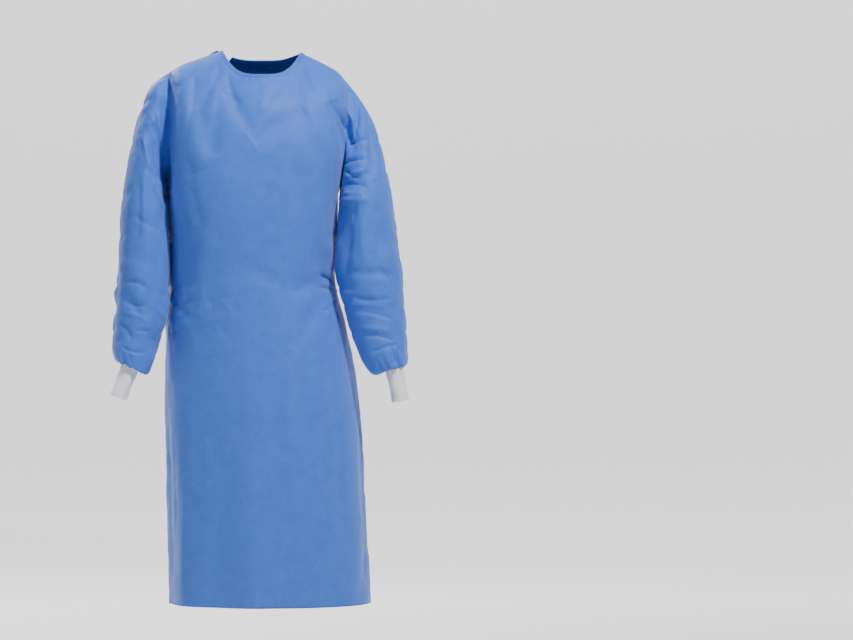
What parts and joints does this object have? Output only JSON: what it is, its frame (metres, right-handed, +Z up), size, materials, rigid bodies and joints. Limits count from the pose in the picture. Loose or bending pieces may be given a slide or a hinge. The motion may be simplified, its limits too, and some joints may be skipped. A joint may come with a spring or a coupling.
{
  "type": "surgical gown",
  "caption": "Long-sleeved wrap-back surgical gown in blue nonwoven cloth, hollow as worn, with white ribbed cuffs, neck ties, hook and loop neck tapes and a knotted waist belt.",
  "frame": {"origin": "midway between the two shoulder points at the neck, where the wearer's shoulders carry the gown", "axes": "+X to the wearer's left, +Y to the back, +Z up; the front faces -Y"},
  "size_m": [0.64, 0.3678, 1.1928],
  "materials": {
    "gown_cloth": "matt blue spunbond nonwoven with a fine bond pattern",
    "cuff_knit": "white ribbed knit",
    "tape_white": "white hook and loop tape"
  },
  "bodies": {
    "root": {"front": "gown_cloth", "back_left": "gown_cloth", "back_right": "gown_cloth", "sleeve_left": "gown_cloth", "sleeve_right": "gown_cloth", "cuff_left": "cuff_knit", "cuff_right": "cuff_knit", "neck_binding": "gown_cloth", "flap_binding": "gown_cloth", "neck_tie_left": "gown_cloth", "neck_tie_right": "gown_cloth", "hook_tape": "tape_white", "loop_tape": "tape_white", "belt": "gown_cloth", "belt_stub": "gown_cloth", "belt_wrap": "gown_cloth", "belt_loop": "gown_cloth", "belt_end_long": "gown_cloth", "belt_end_short": "gown_cloth"}
  },
  "joints": []
}
